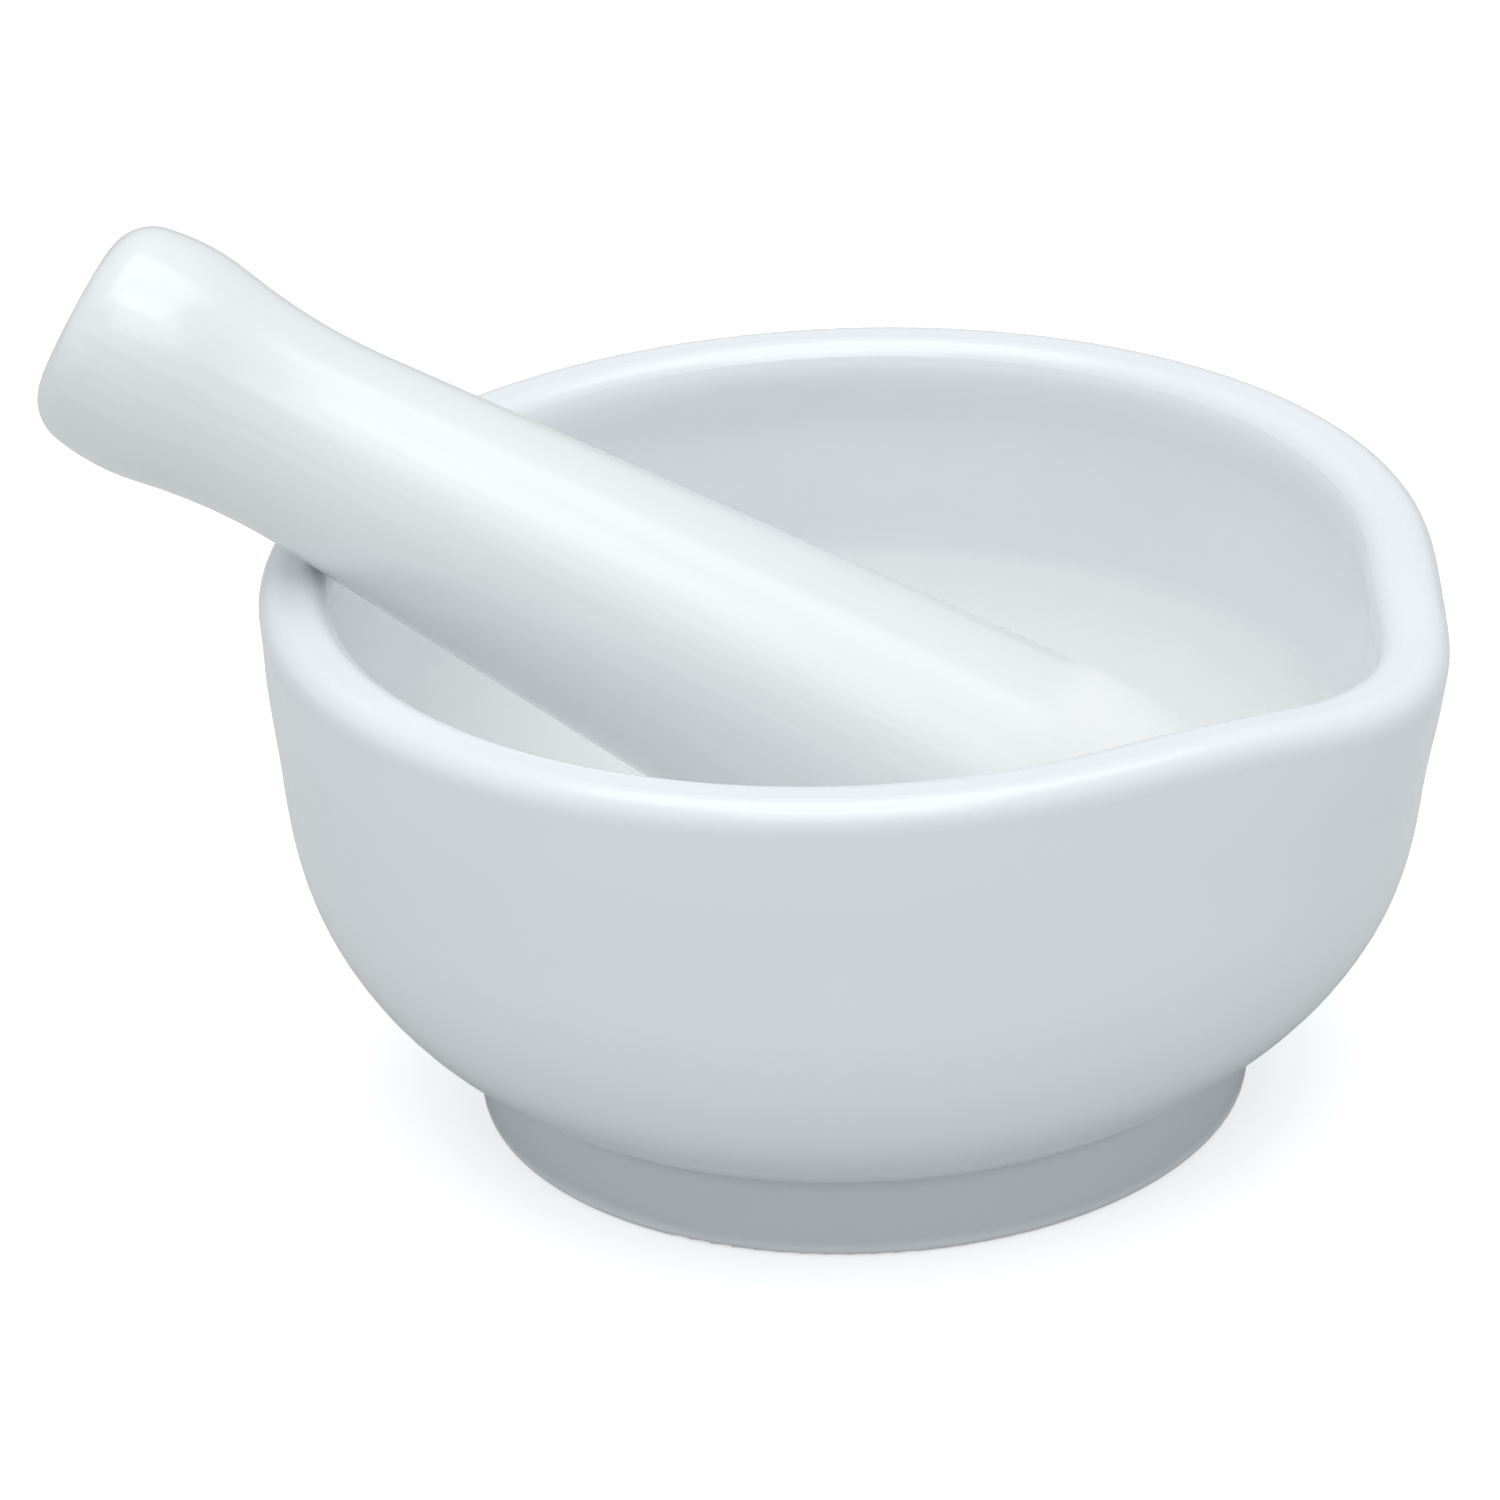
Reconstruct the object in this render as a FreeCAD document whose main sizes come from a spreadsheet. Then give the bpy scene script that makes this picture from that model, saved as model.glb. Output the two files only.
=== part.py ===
import FreeCAD, Part
import math
import os
import Sketcher

# A porcelain laboratory mortar with its pestle lying in it, over the rim.
# Millimetres. The foot rests on z = 0 with its centre at the origin, +Z is up, the pouring lip points to +X.

os.makedirs("parts", exist_ok=True)
doc = FreeCAD.newDocument("mortar_and_pestle")

sheet = doc.addObject("Spreadsheet::Sheet", "Sizes")
SIZES = [
    ("rim_radius", 50.0, "outer radius of the round part of the rim"),
    ("bowl_height", 50.0, "foot to rim"),
    ("rim_width", 5.2, "thickness of the wall at the rim"),
    ("rim_rounding", 2.2, "rounding of both sides of the rim"),
    ("wall_lean", 4.8, "outward lean of the upper wall, degrees"),
    ("wall_foot", 29.7, "height where the leaning wall turns into the belly"),
    ("belly_radius", 27.8, "radius of the belly's curve, outside"),
    ("bore_lean", 4.0, "outward lean of the upper wall inside, degrees"),
    ("bore_foot", 32.0, "height where the wall inside turns into the hollow"),
    ("hollow_radius", 21.0, "radius of the curve between wall and floor, inside"),
    ("floor_radius", 80.0, "radius of the dished floor, inside"),
    ("lip_reach", 6.0, "how far the pouring lip stands out at the rim"),
    ("lip_spread", 16.0, "angular spread of the lip, degrees"),
    ("lip_fade", 1.65, "how fast the lip fades down the wall"),
    ("lip_dip", 1.2, "how far the rim dips at the lip"),
    ("lip_half_width", 22.0, "half the width of the dip"),
    ("foot_radius", 33.6, "outer radius of the foot ring"),
    ("foot_bottom_radius", 33.3, "outer radius of the foot where it stands"),
    ("foot_top", 8.2, "height of the foot's solid, its top is inside the belly"),
    ("foot_rounding", 0.9, "rounding of the foot's lower edge, outside"),
    ("foot_ring_radius", 27.5, "inner radius of the foot ring"),
    ("recess_depth", 2.4, "depth of the underside inside the foot ring"),
    ("recess_rounding", 1.0, "rounding of the recess and of the ring's inner edge"),
    ("neck_rounding", 1.4, "rounding between foot and belly"),
    ("pestle_length", 108.4, "length of the pestle"),
    ("pestle_end_rounding", 4.2, "rounding of the flat handle end"),
    ("knob_radius", 10.45, "largest radius of the knob at the handle end"),
    ("knob_curve", 20.0, "radius of the knob's bulge along its side"),
    ("waist_radius", 9.1, "smallest radius of the handle, behind the knob"),
    ("waist_at", 21.0, "distance of the waist from the handle end"),
    ("waist_curve", 50.0, "radius of the hollow along the handle"),
    ("shaft_taper", 4.2, "half the angle at which the shaft widens, degrees"),
    ("head_radius", 14.1, "largest radius of the grinding head"),
    ("head_curve", 60.0, "radius of the head's bulge along its side"),
    ("shoulder_radius", 6.0, "rounding between the head's side and its domed end"),
    ("dome_radius", 20.0, "radius of the domed grinding end"),
    ("pestle_end_x", -58.6, "middle of the handle end"),
    ("pestle_end_y", -26.8, "middle of the handle end"),
    ("pestle_end_z", 71.25, "middle of the handle end"),
    ("pestle_heading", 19.0, "direction of the pestle seen from above, degrees"),
    ("pestle_tilt", 28.0, "slope of the pestle, head down, degrees"),
]
for row, (name, number, note) in enumerate(SIZES, start=1):
    sheet.set(f"A{row}", note)
    sheet.set(f"B{row}", str(number))
    sheet.setAlias(f"B{row}", name)
doc.recompute()


def size(name):
    return float(sheet.get(name))


def body(label):
    made = doc.addObject("PartDesign::Body", label)
    made.Label = label
    return made


def drive(made, index, name, expression):
    """Names one dimension of a sketch and ties it to the sheet."""
    made.renameConstraint(index, name)
    made.setExpression(f"Constraints.{name}", expression)


def plane(owner, role):
    for feature in owner.Origin.OriginFeatures:
        if feature.Role == role:
            return feature
    raise RuntimeError(role)


def axis_of(made, which):
    return (made, [which])


def point(x, y):
    return FreeCAD.Vector(x, y, 0)


def arc(middle, radius, start, end):
    circle = Part.Circle(middle, FreeCAD.Vector(0, 0, 1), radius)
    return Part.ArcOfCircle(circle, start, end)


def heading(start, end):
    return math.atan2(end.y - start.y, end.x - start.x)


def edges_where(shape, test):
    """Names of the edges whose bounding box passes the test."""
    return [f"Edge{i}" for i, edge in enumerate(shape.Edges, start=1) if test(edge.BoundBox)]


def meeting(middle_a, radius_a, middle_b, radius_b):
    """Where two circles cross, on the side away from the axis."""
    line = middle_b - middle_a
    reach = (radius_a ** 2 - radius_b ** 2 + line.Length ** 2) / (2 * line.Length)
    aside = math.sqrt(radius_a ** 2 - reach ** 2)
    unit = line / line.Length
    across = point(unit.y, -unit.x)
    if across.x < 0:
        across = -across
    return middle_a + unit * reach + across * aside


def rounding(owner, name, before, edges, alias):
    made = owner.newObject("PartDesign::Fillet", name)
    made.Base = (before, edges)
    made.setExpression("Radius", f"Sizes.{alias}")
    doc.recompute()
    return made


def sketch(owner, name, role):
    made = owner.newObject("Sketcher::SketchObject", name)
    made.AttachmentSupport = [(plane(owner, role), "")]
    made.MapMode = "FlatFace"
    return made


# ---------------------------------------------------------------- mortar

def lip_push(angle, height, lowest):
    """How far the wall is pushed out by the lip at one angle and height."""
    if height <= lowest:
        return 0.0
    rise = (height - lowest) / (size("bowl_height") - lowest)
    spread = math.radians(size("lip_spread"))
    return size("lip_reach") * rise ** size("lip_fade") * math.exp(-(angle / spread) ** 2)


# Angles of the outline's points, in degrees: close together at the lip, wider apart on the round part.
OUTLINE_ANGLES = list(range(-180, -50, 10)) + list(range(-50, 50, 5)) + list(range(50, 180, 10))


def ring(radius, height, lowest):
    """A closed level outline of the bowl: round, with the lip towards +X. It starts at the back."""
    points = []
    for degrees in OUTLINE_ANGLES:
        angle = math.radians(degrees)
        reach = radius + lip_push(angle, height, lowest)
        points.append(FreeCAD.Vector(reach * math.cos(angle), reach * math.sin(angle), height))
    curve = Part.BSplineCurve()
    curve.interpolate(Points=points, PeriodicFlag=True, Parameters=OUTLINE_ANGLES + [180])
    return Part.Wire(curve.toShape())


def wall_radius(height, top_radius, lean, turn, curve_radius):
    """Radius of a leaning wall that runs into a round curve below the height `turn`."""
    slope = math.radians(lean)
    rim = size("bowl_height") - size("rim_rounding")
    turn_radius = top_radius - (rim - turn) * math.tan(slope)
    if height >= turn:
        return top_radius - (rim - height) * math.tan(slope)
    middle_r = turn_radius - curve_radius * math.cos(slope)
    middle_z = turn + curve_radius * math.sin(slope)
    return middle_r + math.sqrt(curve_radius ** 2 - (middle_z - height) ** 2)


def outside(height):
    return wall_radius(height, size("rim_radius"), size("wall_lean"), size("wall_foot"), size("belly_radius"))


def inside(height):
    bore = size("rim_radius") - size("rim_width")
    return wall_radius(height, bore, size("bore_lean"), size("bore_foot"), size("hollow_radius"))


def floor_meeting():
    """Where the dished floor runs smoothly into the hollow: radius, height and the floor's centre height."""
    slope = math.radians(size("bore_lean"))
    curve = size("hollow_radius")
    middle_r = inside(size("bore_foot")) - curve * math.cos(slope)
    middle_z = size("bore_foot") + curve * math.sin(slope)
    centre_z = middle_z + math.sqrt((size("floor_radius") - curve) ** 2 - middle_r ** 2)
    share = size("floor_radius") / (size("floor_radius") - curve)
    return middle_r * share, centre_z + (middle_z - centre_z) * share, centre_z


# The bowl's wall changes from round to lipped with its height, which no sketch or primitive gives,
# so its two skins are lofted through level outlines. The foot and every rounding are features of the body.
top = size("bowl_height")
low_outside = 5.4
outer_heights = [low_outside, 6.6, 8.2, 10.4, 13.6, 18.0, 23.5, size("wall_foot"), 36.0, 43.0, top]
outer = Part.makeLoft([ring(outside(z), z, low_outside) for z in outer_heights], True, False)

meet_r, meet_z, floor_centre_z = floor_meeting()
inner_heights = [meet_z, 15.4, 17.6, 20.6, 24.6, 29.0, size("bore_foot"), 37.0, 43.0, top]
inner_rings = [ring(meet_r, meet_z, meet_z)]
inner_rings += [ring(inside(z), z, meet_z) for z in inner_heights[1:]]
bore = Part.makeLoft(inner_rings, True, False)
ball = Part.makeSphere(size("floor_radius"), FreeCAD.Vector(0, 0, floor_centre_z))
below = Part.makeBox(80, 80, meet_z, FreeCAD.Vector(-40, -40, 0))
dish = ball.common(below)

bowl = doc.addObject("Part::Feature", "bowl_wall")
bowl.Shape = outer.cut(bore.fuse([dish], 0.001))

mortar = body("mortar")
mortar.BaseFeature = bowl

foot_sketch = sketch(mortar, "foot_outline", "XZ_Plane")
foot_low = size("foot_bottom_radius")
foot_high = size("foot_radius")
foot_top = size("foot_top")
foot_sketch.addGeometry([
    Part.LineSegment(point(0, 0), point(foot_low, 0)),
    Part.LineSegment(point(foot_low, 0), point(foot_high, foot_top)),
    Part.LineSegment(point(foot_high, foot_top), point(0, foot_top)),
    Part.LineSegment(point(0, foot_top), point(0, 0)),
])
foot_sketch.addConstraint([
    Sketcher.Constraint("Coincident", 0, 1, -1, 1),
    Sketcher.Constraint("Coincident", 0, 2, 1, 1),
    Sketcher.Constraint("Coincident", 1, 2, 2, 1),
    Sketcher.Constraint("Coincident", 2, 2, 3, 1),
    Sketcher.Constraint("Coincident", 3, 2, 0, 1),
    Sketcher.Constraint("Horizontal", 0),
    Sketcher.Constraint("Horizontal", 2),
    Sketcher.Constraint("Vertical", 3),
    Sketcher.Constraint("DistanceX", 0, 1, 0, 2, foot_low),
    Sketcher.Constraint("DistanceX", 2, 2, 2, 1, foot_high),
    Sketcher.Constraint("DistanceY", 3, 2, 3, 1, foot_top),
])
drive(foot_sketch, 8, "bottom", "Sizes.foot_bottom_radius")
drive(foot_sketch, 9, "top", "Sizes.foot_radius")
drive(foot_sketch, 10, "height", "Sizes.foot_top")
foot = mortar.newObject("PartDesign::Revolution", "foot")
foot.Profile = foot_sketch
foot.ReferenceAxis = axis_of(foot_sketch, "V_Axis")
foot.Angle = 360

recess_sketch = sketch(mortar, "recess_outline", "XZ_Plane")
ring_inside = size("foot_ring_radius")
recess_deep = size("recess_depth")
recess_sketch.addGeometry([
    Part.LineSegment(point(0, 0), point(ring_inside, 0)),
    Part.LineSegment(point(ring_inside, 0), point(ring_inside, recess_deep)),
    Part.LineSegment(point(ring_inside, recess_deep), point(0, recess_deep)),
    Part.LineSegment(point(0, recess_deep), point(0, 0)),
])
recess_sketch.addConstraint([
    Sketcher.Constraint("Coincident", 0, 1, -1, 1),
    Sketcher.Constraint("Coincident", 0, 2, 1, 1),
    Sketcher.Constraint("Coincident", 1, 2, 2, 1),
    Sketcher.Constraint("Coincident", 2, 2, 3, 1),
    Sketcher.Constraint("Coincident", 3, 2, 0, 1),
    Sketcher.Constraint("Horizontal", 0),
    Sketcher.Constraint("Vertical", 1),
    Sketcher.Constraint("Horizontal", 2),
    Sketcher.Constraint("DistanceX", 0, 1, 0, 2, ring_inside),
    Sketcher.Constraint("DistanceY", 1, 1, 1, 2, recess_deep),
    Sketcher.Constraint("Vertical", 3),
])
drive(recess_sketch, 8, "radius", "Sizes.foot_ring_radius")
drive(recess_sketch, 9, "depth", "Sizes.recess_depth")
recess = mortar.newObject("PartDesign::Groove", "recess")
recess.Profile = recess_sketch
recess.ReferenceAxis = axis_of(recess_sketch, "V_Axis")
recess.Angle = 360

# The rim dips at the lip in one long shallow wave: a hollow between two humps, all of one radius.
half = size("lip_half_width")
dip = size("lip_dip")
turn = 2 * math.atan(dip / half)
wave = half / (2 * math.sin(turn))
dip_sketch = sketch(mortar, "dip_outline", "YZ_Plane")
up = math.pi / 2
dip_sketch.addGeometry([
    arc(point(0, top - dip + wave), wave, -up - turn, -up + turn),
    arc(point(half, top - wave), wave, up, up + turn),
    arc(point(-half, top - wave), wave, up - turn, up),
    Part.LineSegment(point(half, top), point(half, top + 4)),
    Part.LineSegment(point(half, top + 4), point(-half, top + 4)),
    Part.LineSegment(point(-half, top + 4), point(-half, top)),
])
dip_sketch.addConstraint([
    Sketcher.Constraint("Tangent", 0, 2, 1, 2),
    Sketcher.Constraint("Tangent", 0, 1, 2, 1),
    Sketcher.Constraint("Equal", 0, 1),
    Sketcher.Constraint("Equal", 0, 2),
    Sketcher.Constraint("PointOnObject", 0, 3, -2),
    Sketcher.Constraint("Coincident", 1, 1, 3, 1),
    Sketcher.Constraint("Coincident", 3, 2, 4, 1),
    Sketcher.Constraint("Coincident", 4, 2, 5, 1),
    Sketcher.Constraint("Coincident", 5, 2, 2, 2),
    Sketcher.Constraint("Vertical", 1, 3, 1, 1),
    Sketcher.Constraint("Vertical", 2, 3, 2, 2),
    Sketcher.Constraint("Vertical", 3),
    Sketcher.Constraint("Horizontal", 4),
    Sketcher.Constraint("Vertical", 5),
    Sketcher.Constraint("DistanceX", -1, 1, 1, 1, half),
    Sketcher.Constraint("DistanceY", -1, 1, 1, 1, top),
    Sketcher.Constraint("DistanceX", 2, 2, -1, 1, half),
    Sketcher.Constraint("DistanceY", 3, 1, 3, 2, 4.0),
    Sketcher.Constraint("Radius", 0, wave),
])
drive(dip_sketch, 14, "half_width", "Sizes.lip_half_width")
drive(dip_sketch, 15, "rim_height", "Sizes.bowl_height")
drive(dip_sketch, 16, "other_half_width", "Sizes.lip_half_width")
wave_formula = "Sizes.lip_half_width / (2 * sin(2 * atan(Sizes.lip_dip / Sizes.lip_half_width)))"
drive(dip_sketch, 18, "wave", wave_formula)
lip_dip = mortar.newObject("PartDesign::Pocket", "lip_dip")
lip_dip.Profile = dip_sketch
lip_dip.Type = "Length"
lip_dip.setExpression("Length", "Sizes.rim_radius + 2 * Sizes.lip_reach")
lip_dip.Reversed = True
doc.recompute()

rim_low = size("bowl_height") - size("lip_dip") - 0.1
rim_edges = edges_where(lip_dip.Shape, lambda box: box.ZMin > rim_low and box.DiagonalLength > 6)
rim = rounding(mortar, "rim_rounding", lip_dip, rim_edges, "rim_rounding")

neck_edges = edges_where(rim.Shape, lambda box: 6.0 < box.ZMin and box.ZMax < foot_top and box.XMax > 30)
neck = rounding(mortar, "neck_rounding", rim, neck_edges, "neck_rounding")

standing = edges_where(neck.Shape, lambda box: box.ZMax < 0.1 and box.XMax > ring_inside + 2)
foot_edge = rounding(mortar, "foot_rounding", neck, standing, "foot_rounding")

foot_shape = foot_edge.Shape
hollow = edges_where(foot_shape, lambda box: box.ZMax < recess_deep + 0.1 and abs(box.XMax - ring_inside) < 0.2)
rounding(mortar, "recess_rounding", foot_edge, hollow, "recess_rounding")

# ---------------------------------------------------------------- pestle

# Half the outline, from the flat handle end at the bottom up to the domed grinding end.
pestle = body("pestle")
outline = sketch(pestle, "pestle_outline", "XZ_Plane")
length = size("pestle_length")
end_round = size("pestle_end_rounding")
knob_curve = size("knob_curve")
waist_curve = size("waist_curve")
head_curve = size("head_curve")
shoulder = size("shoulder_radius")
dome = size("dome_radius")
taper = math.radians(size("shaft_taper"))
along = point(math.sin(taper), math.cos(taper))
inward = point(-math.cos(taper), math.sin(taper))

waist_middle = point(size("waist_radius") + waist_curve, size("waist_at"))
shaft_start = waist_middle + inward * waist_curve
knob_x = size("knob_radius") - knob_curve
knob_drop = math.sqrt((knob_curve + waist_curve) ** 2 - (waist_middle.x - knob_x) ** 2)
knob_middle = point(knob_x, waist_middle.y - knob_drop)
knob_turn = heading(knob_middle, waist_middle)
knob_rise = knob_middle.y - end_round
corner_x = knob_x + math.sqrt((knob_curve - end_round) ** 2 - knob_rise ** 2)
corner_middle = point(corner_x, end_round)
corner_turn = heading(knob_middle, corner_middle)
head_x = size("head_radius") - head_curve
shaft_run = (head_x + head_curve * math.cos(taper) - shaft_start.x) / math.sin(taper)
shaft_end = shaft_start + along * shaft_run
head_middle = shaft_end + inward * head_curve
dome_middle = point(0, length - dome)
shoulder_middle = meeting(head_middle, head_curve - shoulder, dome_middle, dome - shoulder)
head_turn = heading(head_middle, shoulder_middle)
dome_turn = heading(dome_middle, shoulder_middle)

outline.addGeometry([
    Part.LineSegment(point(0, length), point(0, 0)),
    Part.LineSegment(point(0, 0), point(corner_x, 0)),
    arc(corner_middle, end_round, -up, corner_turn),
    arc(knob_middle, knob_curve, corner_turn, knob_turn),
    arc(waist_middle, waist_curve, math.pi - taper, math.pi + knob_turn),
    Part.LineSegment(shaft_start, shaft_end),
    arc(head_middle, head_curve, -taper, head_turn),
    arc(shoulder_middle, shoulder, head_turn, dome_turn),
    arc(dome_middle, dome, dome_turn, up),
])
outline.addConstraint([
    Sketcher.Constraint("Coincident", 0, 2, -1, 1),
    Sketcher.Constraint("Coincident", 0, 2, 1, 1),
    Sketcher.Constraint("PointOnObject", 0, 1, -2),
    Sketcher.Constraint("Horizontal", 1),
    Sketcher.Constraint("Tangent", 1, 2, 2, 1),
    Sketcher.Constraint("Tangent", 2, 2, 3, 1),
    Sketcher.Constraint("Tangent", 3, 2, 4, 2),
    Sketcher.Constraint("Tangent", 4, 1, 5, 1),
    Sketcher.Constraint("Tangent", 5, 2, 6, 1),
    Sketcher.Constraint("Tangent", 6, 2, 7, 1),
    Sketcher.Constraint("Tangent", 7, 2, 8, 1),
    Sketcher.Constraint("Coincident", 8, 2, 0, 1),
    Sketcher.Constraint("PointOnObject", 8, 3, -2),
    Sketcher.Constraint("DistanceY", 0, 2, 0, 1, length),
    Sketcher.Constraint("Radius", 2, end_round),
    Sketcher.Constraint("Radius", 3, knob_curve),
    Sketcher.Constraint("DistanceX", 3, 3, -1, 1, -knob_x),
    Sketcher.Constraint("Radius", 4, waist_curve),
    Sketcher.Constraint("DistanceY", -1, 1, 4, 3, waist_middle.y),
    Sketcher.Constraint("DistanceX", -1, 1, 4, 3, waist_middle.x),
    Sketcher.Constraint("Angle", 5, -2, taper),
    Sketcher.Constraint("Radius", 6, head_curve),
    Sketcher.Constraint("DistanceX", 6, 3, -1, 1, -head_x),
    Sketcher.Constraint("Radius", 7, shoulder),
    Sketcher.Constraint("Radius", 8, dome),
])
drive(outline, 13, "length", "Sizes.pestle_length")
drive(outline, 14, "end_rounding", "Sizes.pestle_end_rounding")
drive(outline, 15, "knob_curve", "Sizes.knob_curve")
drive(outline, 16, "knob_middle", "Sizes.knob_curve - Sizes.knob_radius")
drive(outline, 17, "waist_curve", "Sizes.waist_curve")
drive(outline, 18, "waist_height", "Sizes.waist_at")
drive(outline, 19, "waist_middle", "Sizes.waist_radius + Sizes.waist_curve")
drive(outline, 20, "taper", "Sizes.shaft_taper * 1 deg")
drive(outline, 21, "head_curve", "Sizes.head_curve")
drive(outline, 22, "head_middle", "Sizes.head_curve - Sizes.head_radius")
drive(outline, 23, "shoulder", "Sizes.shoulder_radius")
drive(outline, 24, "dome", "Sizes.dome_radius")
turned = pestle.newObject("PartDesign::Revolution", "turned_pestle")
turned.Profile = outline
turned.ReferenceAxis = axis_of(outline, "V_Axis")
turned.Angle = 360
doc.recompute()

# It lies with the flat end out over the rim and the domed end down in the bowl.
lean_over = FreeCAD.Rotation(FreeCAD.Vector(0, 1, 0), 90 + size("pestle_tilt"))
swing = FreeCAD.Rotation(FreeCAD.Vector(0, 0, 1), size("pestle_heading"))
end = FreeCAD.Vector(size("pestle_end_x"), size("pestle_end_y"), size("pestle_end_z"))
pestle.Placement = FreeCAD.Placement(end, swing * lean_over)
doc.recompute()

# ---------------------------------------------------------------- checks and output

for made in doc.Objects:
    if "Invalid" in made.State or "Error" in made.State:
        raise RuntimeError(f"{made.Name} is in state {made.State}")
for piece in (mortar, pestle):
    if piece.Shape.isNull() or not piece.Shape.isValid() or len(piece.Shape.Solids) != 1:
        raise RuntimeError(f"{piece.Label} has no sound solid")
    piece.Shape.exportStep(f"parts/{piece.Label}.step")
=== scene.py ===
import math

import bpy
from mathutils import Matrix, Vector


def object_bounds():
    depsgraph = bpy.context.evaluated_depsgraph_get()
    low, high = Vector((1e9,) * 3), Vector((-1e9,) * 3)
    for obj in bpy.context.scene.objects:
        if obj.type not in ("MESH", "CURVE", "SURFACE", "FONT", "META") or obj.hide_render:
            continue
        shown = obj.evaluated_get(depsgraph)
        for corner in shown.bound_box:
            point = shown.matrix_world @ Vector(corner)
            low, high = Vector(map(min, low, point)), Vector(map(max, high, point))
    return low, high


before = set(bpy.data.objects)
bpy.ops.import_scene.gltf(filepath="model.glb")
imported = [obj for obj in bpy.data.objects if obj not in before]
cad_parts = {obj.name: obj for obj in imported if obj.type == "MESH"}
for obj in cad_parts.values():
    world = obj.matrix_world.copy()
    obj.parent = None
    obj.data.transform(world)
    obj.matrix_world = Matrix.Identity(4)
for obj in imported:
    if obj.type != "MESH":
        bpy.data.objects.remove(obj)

# A white porcelain laboratory mortar with its pestle lying in the bowl, over the rim.
# Metres, in the model's own frame: foot on z = 0, pouring lip towards +X.

cad_low, cad_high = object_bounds()

# ---------------------------------------------------------------- places on the two pieces

GLAZE_LINE = 0.0300          # height inside the bowl where the glaze stops and the bare grinding bed begins
GLAZE_LINE_WIDTH = 0.0020
BED_RING = (0.0220, 0.0330)  # radius and height of the ring round which the bowl's hollow is turned
BED_REACH = 0.0245           # distance from that ring that lies inside the wall's thickness
FOOT_BARE = 0.0012           # height up to which the standing ring is bare
FOOT_BARE_WIDTH = 0.0012
FOOT_TOP = 0.0072            # height where the foot meets the belly
FOOT_FADE = 0.0012
HEAD_BARE_FROM = 0.0875      # distance from the pestle's handle end where its glaze stops
HEAD_BARE_WIDTH = 0.0035
PESTLE_END = Vector((-0.0586, -0.0268, 0.07125))
PESTLE_HEADING = math.radians(19.0)
PESTLE_TILT = math.radians(28.0)

# ---------------------------------------------------------------- colours and surface

MORTAR_THICK, MORTAR_THIN = (0.85, 0.885, 0.92, 1), (0.87, 0.90, 0.93, 1)
# The mortar's bare clay is lighter than the same clay on the pestle: painted light inside the bowl.
MORTAR_CLAY_PAINTED_LIGHT, MORTAR_WORN_PAINTED_LIGHT = (0.945, 0.95, 0.955, 1), (0.93, 0.935, 0.94, 1)
# The pestle's glaze is a little darker than the mortar's: painted shade that tones down its lit top.
PESTLE_THICK_PAINTED_SHADE, PESTLE_THIN_PAINTED_SHADE = (0.84, 0.875, 0.88, 1), (0.86, 0.89, 0.89, 1)
PESTLE_CLAY, PESTLE_WORN = (0.90, 0.905, 0.90, 1), (0.88, 0.885, 0.88, 1)
# Painted shade: a greyer glaze colour for the foot, where it stands in shade near the floor.
FOOT_PAINTED_SHADE = (0.70, 0.735, 0.76, 1)

PORCELAIN_IOR = 1.5
COAT_ROUGHNESS = 0.18
GLAZED_ROUGHNESS, BARE_ROUGHNESS = 0.32, 0.8
GLAZE_BUMP = (0.3, 0.0003)   # strength and depth
CLAY_BUMP = (0.25, 0.00004)

# Noise scales are in features per metre.
WAVE_SCALE = 45.0
SKIN_SCALE, SKIN_SHARE = 700.0, 0.06
POOL_SCALE, POOL_SPAN = 30.0, (0.3, 0.7)
CLOUD_SCALE, CLOUD_SPAN = 120.0, (0.35, 0.7)
GRAIN_SCALE = 5000.0
WANDER_SCALE, WANDER = 35.0, 0.0014
EDGE_SPAN = (-0.2, 1.0)      # where the mask falls, in widths of the edge
STREAK_SCALE, STREAK_SHARE = 440.0, 1.7
STREAK_STRETCH = (1.0, 1.0, 0.03)

# ---------------------------------------------------------------- floor, light and camera

FLOOR_SIZE = 6.0
PAPER_SEEN, PAPER_UNSEEN = (0.94, 0.94, 0.94, 1), (0.65, 0.65, 0.65, 1)
PAPER_GLOW = 0.45
PAPER_ROUGHNESS = 0.9
SKY, SKY_STRENGTH = (0.93, 0.97, 1.0, 1), 0.68
LAMP_TINT = (1.0, 1.0, 0.955)

CAMERA_TURN = math.radians(31.95)
CAMERA_PITCH = math.radians(25.889)
CAMERA_ROLL = math.radians(-2.604)
CAMERA_AIM = Vector((-0.007412, -0.004622, 0.031539))
CAMERA_DISTANCE = 0.70036
SENSOR_MM, LENS_MM = 36.0, 196.2
CLIP_NEAR, CLIP_FAR = 0.05, 20.0

# ---------------------------------------------------------------- node helpers

VECTOR, NUMBER, COLOUR = "NodeSocketVector", "NodeSocketFloat", "NodeSocketColor"
MIX_SHARE, MIX_FIRST, MIX_SECOND, MIX_RESULT = 0, 6, 7, 2  # a Mix node's sockets when it mixes colours


def nodes_of(owner):
    owner.use_nodes = True
    tree = owner.node_tree
    tree.nodes.clear()
    return tree


def add(tree, kind, **values):
    node = tree.nodes.new(kind)
    for name, value in values.items():
        setattr(node, name, value)
    return node


def fill(tree, socket, value):
    """Links an output or sets a plain value."""
    if isinstance(value, bpy.types.NodeSocket):
        tree.links.new(value, socket)
    else:
        socket.default_value = value


def calc(tree, operation, first, second=0.0):
    node = add(tree, "ShaderNodeMath", operation=operation)
    fill(tree, node.inputs[0], first)
    fill(tree, node.inputs[1], second)
    return node.outputs[0]


def split(tree, vector):
    """The X, Y and Z of a vector."""
    node = add(tree, "ShaderNodeSeparateXYZ")
    tree.links.new(vector, node.inputs[0])
    return node.outputs


def noise(tree, where, scale, detail=2.0):
    node = add(tree, "ShaderNodeTexNoise")
    node.inputs["Scale"].default_value = scale
    node.inputs["Detail"].default_value = detail
    tree.links.new(where, node.inputs["Vector"])
    return node.outputs["Fac"]


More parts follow.
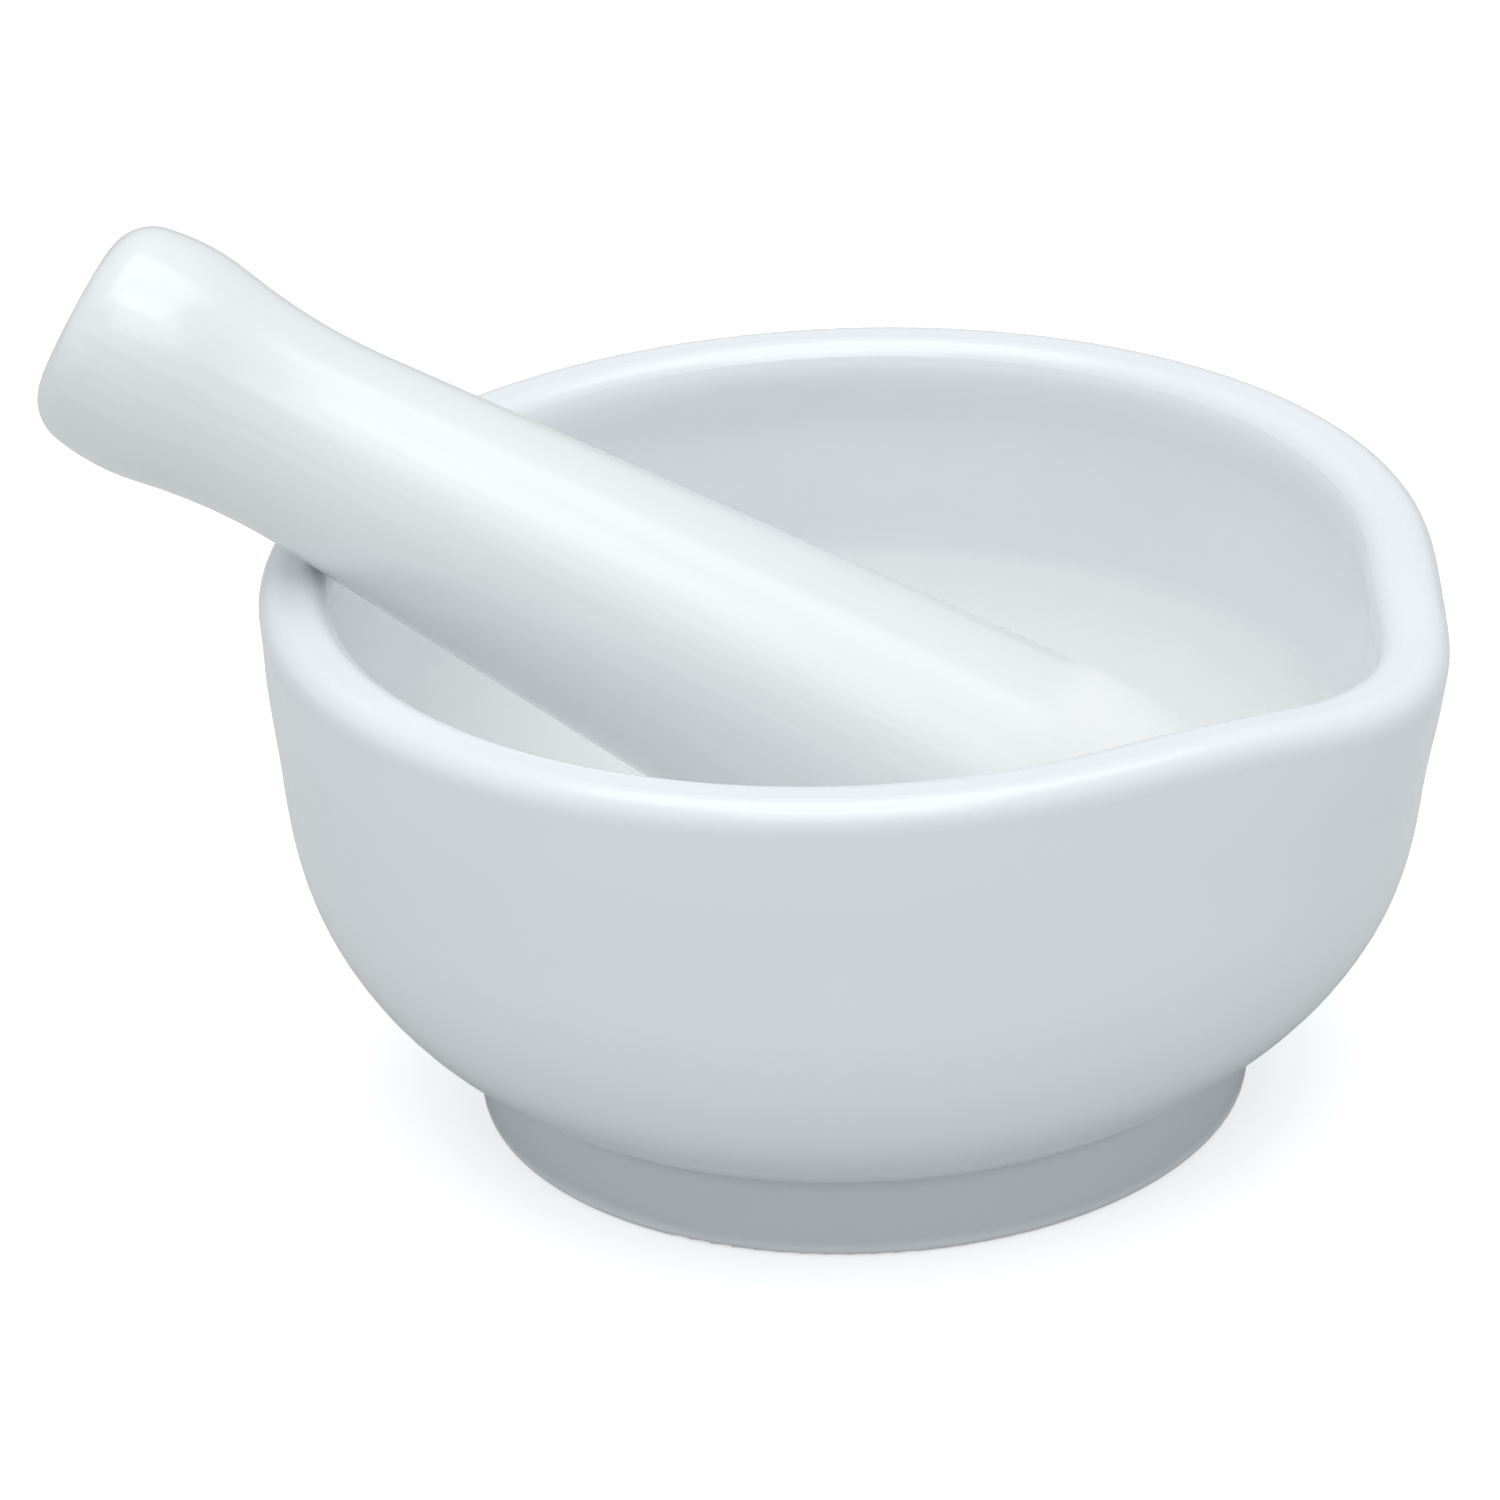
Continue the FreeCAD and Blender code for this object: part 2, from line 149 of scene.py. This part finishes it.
def blend(tree, share, first, second):
    node = add(tree, "ShaderNodeMix", data_type="RGBA")
    fill(tree, node.inputs[MIX_SHARE], share)
    fill(tree, node.inputs[MIX_FIRST], first)
    fill(tree, node.inputs[MIX_SECOND], second)
    return node.outputs[MIX_RESULT]


def spread(tree, value, low, high, start=0.0, end=1.0, smooth=False):
    """Maps low..high to start..end and holds it beyond."""
    node = add(tree, "ShaderNodeMapRange")
    if smooth:
        node.interpolation_type = "SMOOTHSTEP"
    for socket, number in zip(node.inputs[1:5], (low, high, start, end)):
        socket.default_value = number
    tree.links.new(value, node.inputs[0])
    return node.outputs[0]


def bump(tree, height, strength, depth, below=None):
    node = add(tree, "ShaderNodeBump")
    node.inputs["Strength"].default_value = strength
    node.inputs["Distance"].default_value = depth
    tree.links.new(height, node.inputs["Height"])
    if below is not None:
        tree.links.new(below, node.inputs["Normal"])
    return node.outputs["Normal"]


def group(name, inputs, outputs):
    made = bpy.data.node_groups.new(name, "ShaderNodeTree")
    for label, kind in inputs:
        made.interface.new_socket(name=label, in_out="INPUT", socket_type=kind)
    for label, kind in outputs:
        made.interface.new_socket(name=label, in_out="OUTPUT", socket_type=kind)
    return made, add(made, "NodeGroupInput"), add(made, "NodeGroupOutput")


def use(tree, shared, **values):
    """Places a node group and fills its inputs by name."""
    node = add(tree, "ShaderNodeGroup", node_tree=shared)
    for label, value in values.items():
        fill(tree, node.inputs[label], value)
    return node.outputs


# ---------------------------------------------------------------- shared effects


def glaze_group():
    """Height and colour of a fired glaze: long soft waves, a fine skin, and a tint that pools and thins."""
    made, start, end = group(
        "Porcelain glaze",
        [("Position", VECTOR), ("Thick", COLOUR), ("Thin", COLOUR)],
        [("Colour", COLOUR), ("Height", NUMBER)],
    )
    where = start.outputs["Position"]
    waves = noise(made, where, WAVE_SCALE)
    skin = calc(made, "MULTIPLY", noise(made, where, SKIN_SCALE, 1.0), SKIN_SHARE)
    pool = spread(made, noise(made, where, POOL_SCALE, 3.0), *POOL_SPAN)
    colour = blend(made, pool, start.outputs["Thick"], start.outputs["Thin"])
    made.links.new(calc(made, "ADD", waves, skin), end.inputs["Height"])
    made.links.new(colour, end.inputs["Colour"])
    return made


def clay_group():
    """Colour and height of bare fired porcelain: a dry fine grain, softly clouded where it is worn."""
    made, start, end = group(
        "Bare porcelain",
        [("Position", VECTOR), ("Clay", COLOUR), ("Worn", COLOUR)],
        [("Colour", COLOUR), ("Height", NUMBER)],
    )
    where = start.outputs["Position"]
    cloud = spread(made, noise(made, where, CLOUD_SCALE, 4.0), *CLOUD_SPAN)
    colour = blend(made, cloud, start.outputs["Clay"], start.outputs["Worn"])
    made.links.new(colour, end.inputs["Colour"])
    made.links.new(noise(made, where, GRAIN_SCALE), end.inputs["Height"])
    return made


def edge_group():
    """Mask that is 1 where a level is under its limit, with a slightly wandering edge of the given width."""
    made, start, end = group(
        "Glaze edge",
        [("Position", VECTOR), ("Level", NUMBER), ("Limit", NUMBER), ("Width", NUMBER)],
        [("Mask", NUMBER)],
    )
    wander = calc(made, "MULTIPLY", noise(made, start.outputs["Position"], WANDER_SCALE, 3.0), WANDER)
    level = calc(made, "ADD", start.outputs["Level"], wander)
    above = calc(made, "SUBTRACT", level, start.outputs["Limit"])
    share = calc(made, "DIVIDE", above, start.outputs["Width"])
    made.links.new(spread(made, share, *EDGE_SPAN, 1.0, 0.0, smooth=True), end.inputs["Mask"])
    return made


GLAZE = glaze_group()
CLAY = clay_group()
EDGE = edge_group()


def under(tree, where, level, limit, width):
    return use(tree, EDGE, Position=where, Level=level, Limit=limit, Width=width)["Mask"]


def porcelain(name, thick, thin, clay, worn, bare_mask, streaks=None, shade=None):
    """Glazed porcelain, bare where the mask is 1. The last three are functions of tree and position."""
    material = bpy.data.materials.new(name)
    tree = nodes_of(material)
    where = add(tree, "ShaderNodeTexCoord").outputs["Object"]
    mask = bare_mask(tree, where)
    glazed = use(tree, GLAZE, Position=where, Thick=thick, Thin=thin)
    bare = use(tree, CLAY, Position=where, Clay=clay, Worn=worn)

    height = glazed["Height"]
    if streaks is not None:
        height = calc(tree, "ADD", height, streaks(tree, where))
    glazed_colour = glazed["Colour"]
    # Painted shade: the glaze is greyed round the foot, towards the floor.
    if shade is not None:
        glazed_colour = blend(tree, shade(tree, where), glazed_colour, FOOT_PAINTED_SHADE)
    colour = blend(tree, mask, glazed_colour, bare["Colour"])
    normal = bump(tree, height, *GLAZE_BUMP)
    normal = bump(tree, calc(tree, "MULTIPLY", bare["Height"], mask), *CLAY_BUMP, below=normal)
    roughness = spread(tree, mask, 0.0, 1.0, GLAZED_ROUGHNESS, BARE_ROUGHNESS)
    coat = spread(tree, mask, 0.0, 1.0, 1.0, 0.0)

    surface = add(tree, "ShaderNodeBsdfPrincipled")
    surface.inputs["IOR"].default_value = PORCELAIN_IOR
    surface.inputs["Coat IOR"].default_value = PORCELAIN_IOR
    surface.inputs["Coat Roughness"].default_value = COAT_ROUGHNESS
    tree.links.new(colour, surface.inputs["Base Color"])
    tree.links.new(roughness, surface.inputs["Roughness"])
    tree.links.new(coat, surface.inputs["Coat Weight"])
    tree.links.new(normal, surface.inputs["Normal"])
    output = add(tree, "ShaderNodeOutputMaterial")
    tree.links.new(surface.outputs["BSDF"], output.inputs["Surface"])
    return material


# ---------------------------------------------------------------- the two finishes


def mortar_bare(tree, where):
    """Bare inside the bowl below the glaze line, and on the foot's standing ring."""
    x, y, height = split(tree, where)
    x_squared = calc(tree, "MULTIPLY", x, x)
    y_squared = calc(tree, "MULTIPLY", y, y)
    radius = calc(tree, "SQRT", calc(tree, "ADD", x_squared, y_squared))
    outward = calc(tree, "MAXIMUM", calc(tree, "SUBTRACT", radius, BED_RING[0]), 0.0)
    upward = calc(tree, "SUBTRACT", height, BED_RING[1])
    outward_squared = calc(tree, "MULTIPLY", outward, outward)
    upward_squared = calc(tree, "MULTIPLY", upward, upward)
    reach = calc(tree, "SQRT", calc(tree, "ADD", outward_squared, upward_squared))
    inside = calc(tree, "LESS_THAN", reach, BED_REACH)
    below_line = under(tree, where, height, GLAZE_LINE, GLAZE_LINE_WIDTH)
    bed = calc(tree, "MULTIPLY", below_line, inside)
    return calc(tree, "MAXIMUM", bed, under(tree, where, height, FOOT_BARE, FOOT_BARE_WIDTH))


def painted_foot_shade(tree, where):
    """Painted shade on the glaze round the foot, darker where it stands close to the floor."""
    height = split(tree, where)["Z"]
    return spread(tree, height, FOOT_TOP, FOOT_TOP + FOOT_FADE, 1.0, 0.0, smooth=True)


def along_pestle(tree, where):
    """Position measured from the pestle's handle end, with Z along the pestle."""
    lie = (
        Matrix.Translation(PESTLE_END)
        @ Matrix.Rotation(PESTLE_HEADING, 4, "Z")
        @ Matrix.Rotation(math.radians(90) + PESTLE_TILT, 4, "Y")
    ).inverted()
    mapping = add(tree, "ShaderNodeMapping", vector_type="POINT")
    mapping.inputs["Location"].default_value = lie.to_translation()
    mapping.inputs["Rotation"].default_value = lie.to_euler("XYZ")
    tree.links.new(where, mapping.inputs["Vector"])
    return mapping.outputs["Vector"]


def pestle_bare(tree, where):
    """Bare on the grinding head."""
    distance = split(tree, along_pestle(tree, where))["Z"]
    return calc(tree, "SUBTRACT", 1.0, under(tree, where, distance, HEAD_BARE_FROM, HEAD_BARE_WIDTH))


def pestle_streaks(tree, where):
    """Fine lines along the pestle, left by the glaze that ran down it."""
    stretch = add(tree, "ShaderNodeVectorMath", operation="MULTIPLY")
    stretch.inputs[1].default_value = STREAK_STRETCH
    tree.links.new(along_pestle(tree, where), stretch.inputs[0])
    return calc(tree, "MULTIPLY", noise(tree, stretch.outputs[0], STREAK_SCALE), STREAK_SHARE)


finishes = {
    "mortar": porcelain(
        # The mortar's bare clay colours carry painted light inside the bowl.
        "White glaze, mortar", MORTAR_THICK, MORTAR_THIN, MORTAR_CLAY_PAINTED_LIGHT, MORTAR_WORN_PAINTED_LIGHT,
        mortar_bare, shade=painted_foot_shade,
    ),
    "pestle": porcelain(
        # The pestle's glaze colours are darkened: painted shade on its lit top.
        "White glaze, pestle", PESTLE_THICK_PAINTED_SHADE, PESTLE_THIN_PAINTED_SHADE, PESTLE_CLAY, PESTLE_WORN,
        pestle_bare, streaks=pestle_streaks,
    ),
}
for name, finish in finishes.items():
    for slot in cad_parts[name].material_slots:
        slot.material = finish

# ---------------------------------------------------------------- floor

# White where it is seen, greyer where it throws light back on the two pieces.
bpy.ops.mesh.primitive_plane_add(size=FLOOR_SIZE, location=(0, 0, 0))
floor = bpy.context.object
floor.name = "floor"
paper = bpy.data.materials.new("White paper")
tree = nodes_of(paper)
seen = add(tree, "ShaderNodeLightPath").outputs["Is Camera Ray"]
sheet = add(tree, "ShaderNodeBsdfPrincipled")
sheet.inputs["Emission Color"].default_value = (1, 1, 1, 1)
sheet.inputs["Roughness"].default_value = PAPER_ROUGHNESS
sheet.inputs["Specular IOR Level"].default_value = 0.0
tree.links.new(blend(tree, seen, PAPER_UNSEEN, PAPER_SEEN), sheet.inputs["Base Color"])
tree.links.new(spread(tree, seen, 0.0, 1.0, 0.0, PAPER_GLOW), sheet.inputs["Emission Strength"])
output = add(tree, "ShaderNodeOutputMaterial")
tree.links.new(sheet.outputs["BSDF"], output.inputs["Surface"])
floor.data.materials.append(paper)

# ---------------------------------------------------------------- light

scene = bpy.context.scene
world = bpy.data.worlds.new("Studio")
scene.world = world
tree = nodes_of(world)
sky = add(tree, "ShaderNodeBackground")
sky.inputs["Color"].default_value = SKY
sky.inputs["Strength"].default_value = SKY_STRENGTH
output = add(tree, "ShaderNodeOutputWorld")
tree.links.new(sky.outputs["Background"], output.inputs["Surface"])


def softbox(name, place, aim, size, watts):
    """A square soft lamp at a place, turned towards its aim."""
    light = bpy.data.lights.new(name, "AREA")
    light.color = LAMP_TINT
    light.shape = "RECTANGLE"
    light.size = size
    light.size_y = size
    light.energy = watts
    lamp = bpy.data.objects.new(name, light)
    scene.collection.objects.link(lamp)
    lamp.location = place
    lamp.rotation_euler = (Vector(aim) - Vector(place)).to_track_quat("-Z", "Y").to_euler()


middle = (cad_low + cad_high) / 2
softbox("overhead", (0.0, 0.0, 0.75), middle, size=0.7, watts=1.9)
softbox("front", (0.27, -0.44, 0.77), middle, size=0.6, watts=1.1)

# ---------------------------------------------------------------- camera

scene.view_settings.view_transform = "Standard"
back = Vector((
    math.sin(CAMERA_TURN) * math.cos(CAMERA_PITCH),
    -math.cos(CAMERA_TURN) * math.cos(CAMERA_PITCH),
    math.sin(CAMERA_PITCH),
))
level = Vector((math.cos(CAMERA_TURN), math.sin(CAMERA_TURN), 0))
upright = back.cross(level)
right = math.cos(CAMERA_ROLL) * level + math.sin(CAMERA_ROLL) * upright
up = math.cos(CAMERA_ROLL) * upright - math.sin(CAMERA_ROLL) * level
lens = bpy.data.cameras.new("camera")
lens.sensor_width = SENSOR_MM
lens.lens = LENS_MM
lens.clip_start = CLIP_NEAR
lens.clip_end = CLIP_FAR
camera = bpy.data.objects.new("camera", lens)
scene.collection.objects.link(camera)
axes = Matrix((right, up, back)).transposed()
camera.matrix_world = Matrix.Translation(CAMERA_AIM + CAMERA_DISTANCE * back) @ axes.to_4x4()
scene.camera = camera
